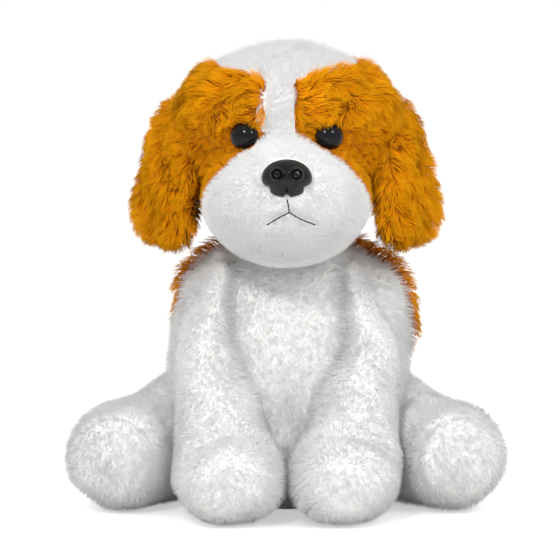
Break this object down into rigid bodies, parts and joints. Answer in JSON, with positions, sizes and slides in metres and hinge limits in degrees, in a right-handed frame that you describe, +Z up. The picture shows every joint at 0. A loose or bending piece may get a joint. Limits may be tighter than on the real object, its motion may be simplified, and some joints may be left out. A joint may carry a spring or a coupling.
{
  "type": "plush dog",
  "caption": "Sitting plush dog with long hanging ears, a short-pile muzzle, a moulded nose and eyes, jointed at the neck, ears, legs and tail.",
  "frame": {"origin": "centre of the flat seat panel, on the surface that the dog sits on", "axes": "+Z up, the dog faces -Y, +X to the viewer's right when the dog is seen from the front; left and right in node names are the viewer's"},
  "size_m": [0.2668, 0.2466, 0.2851],
  "materials": {
    "white_pile": "soft white plush with a 6 to 8 mm pile",
    "white_short_pile": "short white velvety pile, about 3 mm",
    "orange_long_pile": "long orange plush, 10 to 15 mm, clumped",
    "filling": "loose polyester fibre filling",
    "pouch_cloth": "plain woven pouch of plastic pellets",
    "white_thread": "polyester sewing thread",
    "black_thread": "black embroidery thread",
    "eye_plastic": "very dark brown moulded plastic, polished",
    "nose_plastic": "black moulded plastic, polished",
    "washer_plastic": "natural moulded plastic"
  },
  "bodies": {
    "torso": {"back_panel": "orange_long_pile", "chest_panel": "white_pile", "left_flank_panel": "white_pile", "right_flank_panel": "white_pile", "seat_panel": "white_pile", "body_stuffing": "filling", "pellet_pouch": "pouch_cloth", "closing_stitches": "white_thread"},
    "neck": {"neck_stuffing": "filling", "neck_seam_thread": "white_thread"},
    "head": {"forehead_gusset": "white_pile", "crown_panel": "white_pile", "left_head_panel": "orange_long_pile", "right_head_panel": "orange_long_pile", "left_muzzle_panel": "white_short_pile", "right_muzzle_panel": "white_short_pile", "chin_panel": "white_short_pile", "head_stuffing": "filling", "left_eye": "eye_plastic", "right_eye": "eye_plastic", "left_eye_washer": "washer_plastic", "right_eye_washer": "washer_plastic", "nose": "nose_plastic", "nose_washer": "washer_plastic", "mouth_stitching": "black_thread"},
    "left_ear": {"left_ear_outer": "orange_long_pile", "left_ear_lining": "orange_long_pile", "left_ear_wadding": "filling"},
    "left_front_leg": {"left_front_leg_outer": "white_pile", "left_front_leg_inner": "white_pile", "left_front_paw_sole": "white_pile", "left_front_leg_stuffing": "filling"},
    "left_hind_leg": {"left_hind_leg_upper": "white_pile", "left_hind_leg_under": "white_pile", "left_hind_sole": "white_pile", "left_hind_leg_stuffing": "filling"},
    "right_ear": {"right_ear_outer": "orange_long_pile", "right_ear_lining": "orange_long_pile", "right_ear_wadding": "filling"},
    "right_front_leg": {"right_front_leg_outer": "white_pile", "right_front_leg_inner": "white_pile", "right_front_paw_sole": "white_pile", "right_front_leg_stuffing": "filling"},
    "right_hind_leg": {"right_hind_leg_upper": "white_pile", "right_hind_leg_under": "white_pile", "right_hind_sole": "white_pile", "right_hind_leg_stuffing": "filling"},
    "tail": {"tail_upper": "orange_long_pile", "tail_under": "orange_long_pile", "tail_stuffing": "filling"}
  },
  "joints": [
    {"name": "head_turn", "type": "hinge", "parent": "torso", "child": "neck", "pos_m": [0, -0.026, 0.174], "axis": [0, 0, 1], "range_deg": [-20, 20], "stiffness_Nm_per_rad": 0.6},
    {"name": "head_nod", "type": "hinge", "parent": "neck", "child": "head", "pos_m": [0, -0.026, 0.174], "axis": [1, 0, 0], "range_deg": [-12, 3], "stiffness_Nm_per_rad": 1.2},
    {"name": "left_ear_lift", "type": "hinge", "parent": "head", "child": "left_ear", "pos_m": [-0.062, -0.027, 0.245], "axis": [-0.6, 0.8, 0], "range_deg": [0, 70], "stiffness_Nm_per_rad": 0.05},
    {"name": "right_ear_lift", "type": "hinge", "parent": "head", "child": "right_ear", "pos_m": [0.062, -0.027, 0.245], "axis": [-0.6, -0.8, 0], "range_deg": [0, 70], "stiffness_Nm_per_rad": 0.05},
    {"name": "left_front_leg_swing", "type": "hinge", "parent": "torso", "child": "left_front_leg", "pos_m": [-0.04, -0.03, 0.124], "axis": [-1, 0, 0], "range_deg": [0, 60], "stiffness_Nm_per_rad": 0.2},
    {"name": "right_front_leg_swing", "type": "hinge", "parent": "torso", "child": "right_front_leg", "pos_m": [0.04, -0.03, 0.124], "axis": [-1, 0, 0], "range_deg": [0, 60], "stiffness_Nm_per_rad": 0.2},
    {"name": "left_hind_leg_splay", "type": "hinge", "parent": "torso", "child": "left_hind_leg", "pos_m": [-0.05, 0.008, 0.044], "axis": [0, 0, -1], "range_deg": [0, 30], "stiffness_Nm_per_rad": 0.3},
    {"name": "right_hind_leg_splay", "type": "hinge", "parent": "torso", "child": "right_hind_leg", "pos_m": [0.05, 0.008, 0.044], "axis": [0, 0, 1], "range_deg": [0, 30], "stiffness_Nm_per_rad": 0.3},
    {"name": "tail_wag", "type": "hinge", "parent": "torso", "child": "tail", "pos_m": [0, 0.071, 0.024], "axis": [0, 0, 1], "range_deg": [-25, 25], "stiffness_Nm_per_rad": 0.05}
  ]
}
